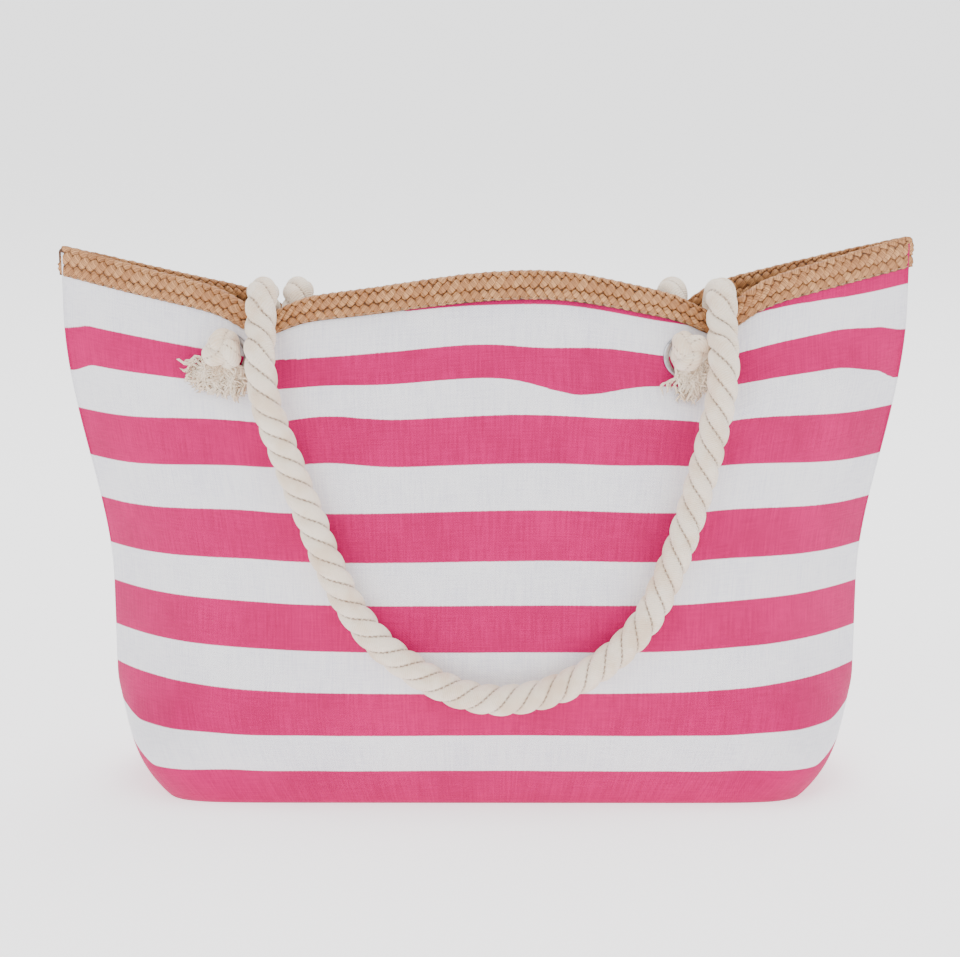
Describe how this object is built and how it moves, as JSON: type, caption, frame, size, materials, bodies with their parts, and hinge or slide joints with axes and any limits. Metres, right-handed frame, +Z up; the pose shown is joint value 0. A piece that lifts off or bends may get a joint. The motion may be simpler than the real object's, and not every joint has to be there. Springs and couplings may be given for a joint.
{
  "type": "beach bag",
  "caption": "Boxed canvas tote with bold stripes, a plaited braid folded over its rim, an inner zipped pocket, and knotted twisted-rope handles that swing over the rim.",
  "frame": {"origin": "middle of the base, on the surface that the bag stands on", "axes": "+Z up, +X along the mouth from side seam to side seam, -Y towards the front panel with its hanging rope handle"},
  "size_m": [0.555, 0.186, 0.3635],
  "materials": {
    "striped_canvas": "plain weave cotton canvas in 30 mm pink and white stripes",
    "lining_cloth": "light plain weave lining",
    "straw_braid": "plaited paper straw braid",
    "cotton_rope": "three-strand twisted cotton rope",
    "eyelet_metal": "nickel plated",
    "zip_cloth": "woven tape",
    "zip_metal": "nickel plated",
    "zip_coil": "nylon coil",
    "stitching": "sewing thread"
  },
  "bodies": {
    "bag": {"front_panel": "striped_canvas", "back_panel": "striped_canvas", "base_panel": "striped_canvas", "front_lining": "lining_cloth", "back_lining": "lining_cloth", "base_lining": "lining_cloth", "pocket_panel": "lining_cloth", "front_braid": "straw_braid", "back_braid": "straw_braid", "snap_stud_half": "eyelet_metal", "snap_socket_half": "eyelet_metal", "zip_tapes": "zip_cloth", "zip_teeth": "zip_coil", "zip_stops": "zip_metal", "front_left_eyelet": "eyelet_metal", "front_right_eyelet": "eyelet_metal", "back_left_eyelet": "eyelet_metal", "back_right_eyelet": "eyelet_metal", "front_left_washer": "eyelet_metal", "front_right_washer": "eyelet_metal", "back_left_washer": "eyelet_metal", "back_right_washer": "eyelet_metal", "front_left_anchor": "cotton_rope", "front_right_anchor": "cotton_rope", "back_left_anchor": "cotton_rope", "back_right_anchor": "cotton_rope", "front_left_knot": "cotton_rope", "front_right_knot": "cotton_rope", "back_left_knot": "cotton_rope", "back_right_knot": "cotton_rope", "front_left_tuft": "cotton_rope", "front_right_tuft": "cotton_rope", "back_left_tuft": "cotton_rope", "back_right_tuft": "cotton_rope", "front_left_turn": "cotton_rope", "front_right_turn": "cotton_rope", "back_left_turn": "cotton_rope", "back_right_turn": "cotton_rope"},
    "front_handle": {"front_loop": "cotton_rope"},
    "back_handle": {"back_loop": "cotton_rope"},
    "zip_slider": {"zip_slider": "zip_metal"},
    "zip_pull": {"zip_pull": "zip_metal"}
  },
  "joints": [
    {"name": "front_handle_swing", "type": "hinge", "parent": "bag", "child": "front_handle", "pos_m": [0, -0.028, 0.318], "axis": [-1, 0, 0], "range_deg": [0, 160], "deforming": ["front_left_turn", "front_right_turn"]},
    {"name": "back_handle_swing", "type": "hinge", "parent": "bag", "child": "back_handle", "pos_m": [0, 0.03, 0.31], "axis": [1, 0, 0], "range_deg": [0, 160], "deforming": ["back_left_turn", "back_right_turn"]},
    {"name": "zip_slide", "type": "slide", "parent": "bag", "child": "zip_slider", "axis": [-1, 0, 0], "range_m": [0, 0.155]},
    {"name": "zip_pull_flip", "type": "hinge", "parent": "zip_slider", "child": "zip_pull", "pos_m": [0.0785, 0.03889, 0.24877], "axis": [0, -0.272, 0.9623], "range_deg": [0, 175]}
  ]
}
